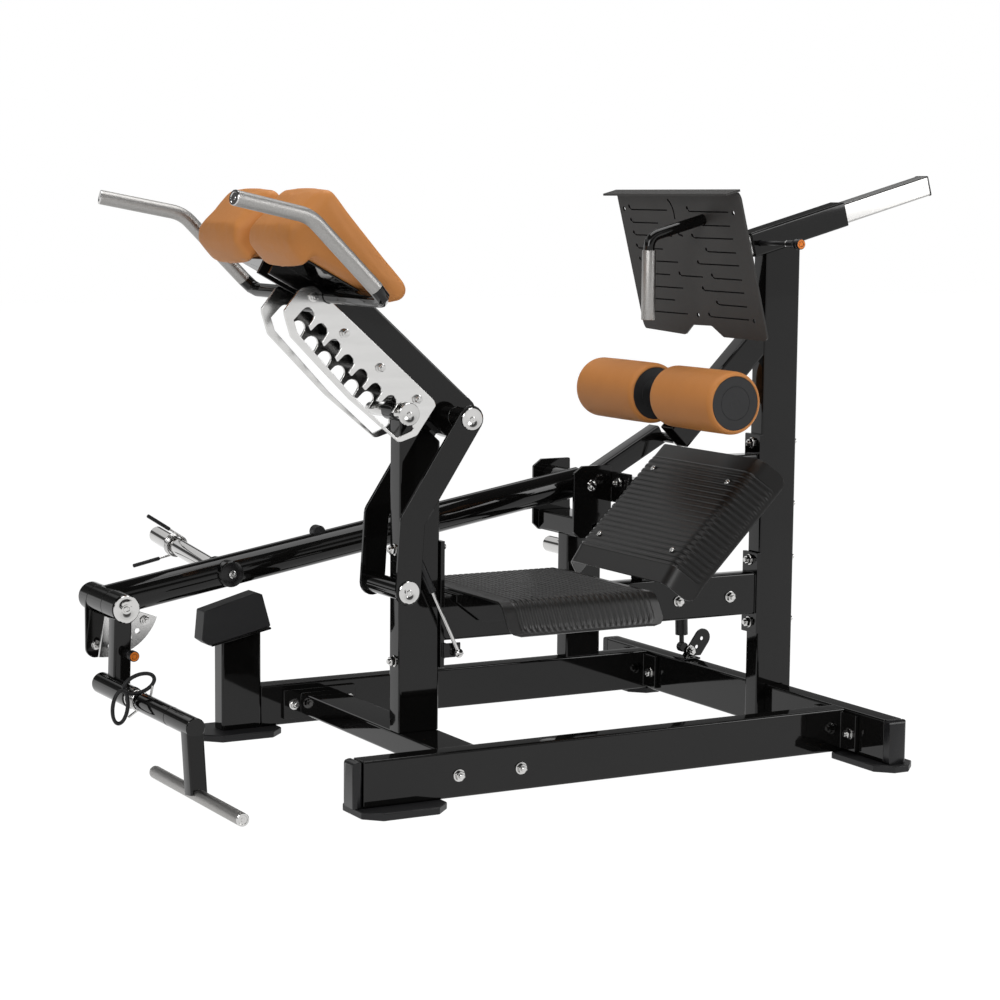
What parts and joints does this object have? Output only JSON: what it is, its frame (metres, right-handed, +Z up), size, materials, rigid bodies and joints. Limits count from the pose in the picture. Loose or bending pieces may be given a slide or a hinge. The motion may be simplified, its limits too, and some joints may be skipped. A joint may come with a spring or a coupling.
{
  "type": "hip extension bench",
  "caption": "Floor-standing hip extension bench with tilted hip pads on a notched arm, ribbed standing plates, foot plate, ankle rollers and a plate-loaded swinging lever.",
  "frame": {"origin": "on the floor at the middle of the outer box", "axes": "+X along the long beams from the hand bar towards the tall post and its foot plate telescope, +Y towards the lever side, +Z up"},
  "size_m": [2.4024, 1.763, 1.6092],
  "materials": {
    "black_coat": "gloss powder coat",
    "polished_steel": "polished",
    "knurled_steel": "fine knurl, satin",
    "black_rubber": "ribbed, matt",
    "textured_black": "fine texture, matt",
    "tan_leather": "grained upholstery",
    "black_plastic": "satin"
  },
  "bodies": {
    "frame": {"near_beam": "black_coat", "far_beam": "black_coat", "rear_beam": "black_coat", "near_beam_cap": "black_plastic", "rear_cap_near": "black_plastic", "rear_cap_far": "black_plastic", "front_cross_beam": "black_coat", "foot_front_near": "black_rubber", "foot_front_far": "black_rubber", "foot_rear_near": "black_rubber", "foot_rear_far": "black_rubber", "bumper_stand": "black_coat", "bumper": "black_rubber", "front_post": "black_coat", "tall_post": "black_coat", "mid_rail": "black_coat", "low_pivot_shaft": "polished_steel", "top_pivot_shaft": "polished_steel", "link_near": "black_coat", "link_far": "black_coat", "strut_cylinder": "black_plastic", "strut_rod": "polished_steel", "step_plate": "black_rubber", "incline_plate": "black_rubber", "incline_rail": "black_coat", "rack_pin": "polished_steel", "telescope_sleeve": "black_coat", "roller_arm": "black_coat", "roller_axle": "polished_steel", "lever_post": "black_coat", "lever_shaft": "polished_steel", "storage_horn": "polished_steel", "damper_anchor": "black_coat"},
    "pad_carriage": {"pad_arm": "black_coat", "rack_near": "polished_steel", "rack_far": "polished_steel", "pad_near": "tan_leather", "pad_far": "tan_leather", "pad_frame_near": "black_coat", "pad_frame_far": "black_coat", "hand_bar_near": "knurled_steel", "hand_bar_far": "knurled_steel"},
    "telescope": {"telescope_tube": "polished_steel", "foot_plate": "textured_black", "foot_handle": "black_coat", "foot_handle_grip": "knurled_steel"},
    "telescope_pull_pin": {"telescope_pin": "black_plastic"},
    "near_roller": {"roller_near": "tan_leather"},
    "far_roller": {"roller_far": "tan_leather"},
    "lever": {"lever_arm": "black_coat", "sector_plate": "polished_steel", "weight_horn": "polished_steel", "horn_collar": "polished_steel"},
    "damper": {"damper_body": "black_plastic"},
    "damper_piston": {"damper_rod": "polished_steel"},
    "link": {"handle_link": "black_coat", "handle_collar": "polished_steel"},
    "link_pull_pin": {"link_pin": "black_plastic"},
    "pull_bar": {"drop_handle": "black_coat", "hand_bar": "knurled_steel"}
  },
  "joints": [
    {"name": "lever_swing", "type": "hinge", "parent": "frame", "child": "lever", "pos_m": [0.39589, 0.37048, 0.675], "axis": [0, 1, 0], "range_deg": [0, 35]},
    {"name": "damper_body_swing", "type": "hinge", "parent": "frame", "child": "damper", "pos_m": [0.68189, 0.21348, 0.17], "axis": [0, 1, 0], "range_deg": [0, 3.85]},
    {"name": "damper_rod_swing", "type": "hinge", "parent": "lever", "child": "damper_piston", "pos_m": [0.65889, 0.21348, 0.811], "axis": [0, 1, 0], "range_deg": [-31.5, 0]},
    {"name": "link_swing", "type": "hinge", "parent": "lever", "child": "link", "pos_m": [-1.12311, 0.34848, 0.414], "axis": [0, 1, 0], "range_deg": [-38, 0]},
    {"name": "link_pin_slide", "type": "slide", "parent": "link", "child": "link_pull_pin", "axis": [0, -1, 0], "range_m": [0, 0.012], "stiffness_N_per_m": 400},
    {"name": "pull_bar_swing", "type": "hinge", "parent": "link", "child": "pull_bar", "pos_m": [-1.15311, -0.15152, 0.195], "axis": [0, 1, 0], "range_deg": [0, 75]},
    {"name": "pad_arm_lift", "type": "hinge", "parent": "frame", "child": "pad_carriage", "pos_m": [-0.37511, -0.25152, 0.953], "axis": [0, 1, 0], "range_deg": [0, 10]},
    {"name": "telescope_slide", "type": "slide", "parent": "frame", "child": "telescope", "axis": [0.9636, 0, 0.2672], "range_m": [-0.2, 0.03]},
    {"name": "telescope_pin_slide", "type": "slide", "parent": "frame", "child": "telescope_pull_pin", "axis": [0, -1, 0], "range_m": [0, 0.012], "stiffness_N_per_m": 400},
    {"name": "near_roller_spin", "type": "hinge", "parent": "frame", "child": "near_roller", "pos_m": [0.30089, -0.44852, 0.991], "axis": [0, 1, 0], "continuous": true},
    {"name": "far_roller_spin", "type": "hinge", "parent": "frame", "child": "far_roller", "pos_m": [0.30089, -0.05452, 0.991], "axis": [0, 1, 0], "continuous": true}
  ],
  "couplings": [
    {"joint": "damper_rod_swing", "follows": "lever_swing", "ratio": -0.892},
    {"joint": "damper_body_swing", "follows": "lever_swing", "ratio": 0.108}
  ]
}
